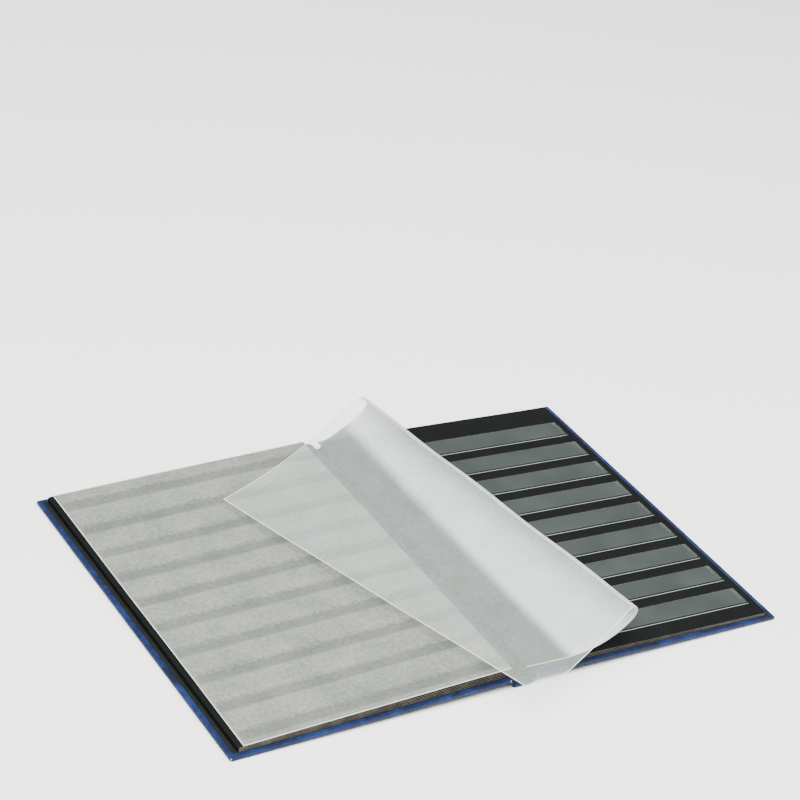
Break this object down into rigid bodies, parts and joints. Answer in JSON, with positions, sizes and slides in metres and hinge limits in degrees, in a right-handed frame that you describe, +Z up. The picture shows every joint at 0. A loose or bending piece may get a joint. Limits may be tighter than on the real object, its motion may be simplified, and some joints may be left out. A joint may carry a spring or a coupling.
{
  "type": "stamp album",
  "caption": "Hard-cover stamp stockbook lying open, with black leaves, clear pocket strips, glassine interleaves and a marbled blue case.",
  "frame": {"origin": "on the table, under the middle of the spine board", "axes": "+X to the right across the open pages, +Y towards the head of the pages, +Z up"},
  "size_m": [0.4684, 0.3397, 0.0536],
  "materials": {
    "blue_leatherette": "satin",
    "grey_board": "matte",
    "black_paper": "matte",
    "black_card": "matte",
    "black_linen": "matte",
    "clear_film": "glossy",
    "glassine": "satin",
    "gold_foil": "satin"
  },
  "bodies": {
    "back_half": {"back_board": "grey_board", "back_leatherette": "blue_leatherette", "back_endpaper": "black_paper", "back_joint": "blue_leatherette", "leaf_6_guard": "black_linen", "leaf_7_guard": "black_linen", "leaf_8_guard": "black_linen"},
    "spine": {"spine_board": "grey_board", "spine_leatherette": "blue_leatherette", "spine_lining": "black_linen", "spine_bands": "gold_foil"},
    "front_half": {"front_board": "grey_board", "front_leatherette": "blue_leatherette", "front_endpaper": "black_paper", "front_joint": "blue_leatherette", "front_cover_rules": "gold_foil", "front_cover_emblem": "gold_foil", "leaf_1_guard": "black_linen", "leaf_2_guard": "black_linen", "leaf_3_guard": "black_linen", "leaf_4_guard": "black_linen", "leaf_5_guard": "black_linen"},
    "leaf_1_body": {"leaf_1": "black_card", "leaf_1_recto_strips": "clear_film", "leaf_1_verso_strips": "clear_film"},
    "leaf_2_body": {"leaf_2": "black_card", "leaf_2_recto_strips": "clear_film", "leaf_2_verso_strips": "clear_film", "interleaves_1_2": "glassine"},
    "leaf_3_body": {"leaf_3": "black_card", "leaf_3_recto_strips": "clear_film", "leaf_3_verso_strips": "clear_film", "interleaves_2_3": "glassine"},
    "leaf_4_body": {"leaf_4": "black_card", "leaf_4_recto_strips": "clear_film", "leaf_4_verso_strips": "clear_film", "interleaves_3_4": "glassine"},
    "leaf_5_body": {"leaf_5": "black_card", "leaf_5_recto_strips": "clear_film", "leaf_5_verso_strips": "clear_film", "interleaves_4_5": "glassine", "left_interleaf": "glassine"},
    "leaf_8_body": {"leaf_8": "black_card", "leaf_8_recto_strips": "clear_film", "leaf_8_verso_strips": "clear_film"},
    "leaf_7_body": {"leaf_7": "black_card", "leaf_7_recto_strips": "clear_film", "leaf_7_verso_strips": "clear_film", "interleaves_7_8": "glassine"},
    "leaf_6_body": {"leaf_6": "black_card", "leaf_6_recto_strips": "clear_film", "leaf_6_verso_strips": "clear_film", "interleaves_6_7": "glassine", "turned_interleaf_base": "glassine"},
    "turned_flap": {"turned_interleaf_flap": "glassine"}
  },
  "joints": [
    {"name": "spine_hinge", "type": "hinge", "parent": "back_half", "child": "spine", "pos_m": [0.0092, 0, 0.005], "axis": [0, 1, 0], "range_deg": [0, 91.27], "deforming": ["back_joint", "leaf_6_guard", "leaf_7_guard", "leaf_8_guard", "turned_interleaf_base", "turned_interleaf_flap"]},
    {"name": "front_cover_hinge", "type": "hinge", "parent": "spine", "child": "front_half", "pos_m": [-0.0092, 0, 0.005], "axis": [0, 1, 0], "range_deg": [0, 91.27], "deforming": ["front_joint", "leaf_1_guard", "leaf_2_guard", "leaf_3_guard", "leaf_4_guard", "leaf_5_guard"]},
    {"name": "leaf_1_lift", "type": "hinge", "parent": "front_half", "child": "leaf_1_body", "pos_m": [-0.01028, 0, 0.00845], "axis": [0, -1, 0], "range_deg": [-3, 0]},
    {"name": "leaf_2_lift", "type": "hinge", "parent": "leaf_1_body", "child": "leaf_2_body", "pos_m": [-0.01031, 0, 0.01], "axis": [0, -1, 0], "range_deg": [-3, 0]},
    {"name": "leaf_3_lift", "type": "hinge", "parent": "leaf_2_body", "child": "leaf_3_body", "pos_m": [-0.01035, 0, 0.01155], "axis": [0, -1, 0], "range_deg": [-4, 0]},
    {"name": "leaf_4_lift", "type": "hinge", "parent": "leaf_3_body", "child": "leaf_4_body", "pos_m": [-0.01038, 0, 0.0131], "axis": [0, -1, 0], "range_deg": [-4, 0]},
    {"name": "leaf_5_lift", "type": "hinge", "parent": "leaf_4_body", "child": "leaf_5_body", "pos_m": [-0.01042, 0, 0.01465], "axis": [0, -1, 0], "range_deg": [-75, 0]},
    {"name": "leaf_8_lift", "type": "hinge", "parent": "back_half", "child": "leaf_8_body", "pos_m": [0.01028, 0, 0.00845], "axis": [0, 1, 0], "range_deg": [-3, 0]},
    {"name": "leaf_7_lift", "type": "hinge", "parent": "leaf_8_body", "child": "leaf_7_body", "pos_m": [0.01031, 0, 0.01], "axis": [0, 1, 0], "range_deg": [-3, 0]},
    {"name": "leaf_6_lift", "type": "hinge", "parent": "leaf_7_body", "child": "leaf_6_body", "pos_m": [0.01035, 0, 0.01155], "axis": [0, 1, 0], "range_deg": [-3, 0]},
    {"name": "turned_flap_fold", "type": "hinge", "parent": "leaf_6_body", "child": "turned_flap", "pos_m": [0.054, 0, 0.03273], "axis": [-0.165, 0.9863, 0], "range_deg": [0, 194.27]}
  ],
  "couplings": [
    {"joint": "spine_hinge", "follows": "front_cover_hinge", "ratio": 1},
    {"joint": "turned_flap_fold", "follows": "front_cover_hinge", "ratio": 2.123}
  ]
}
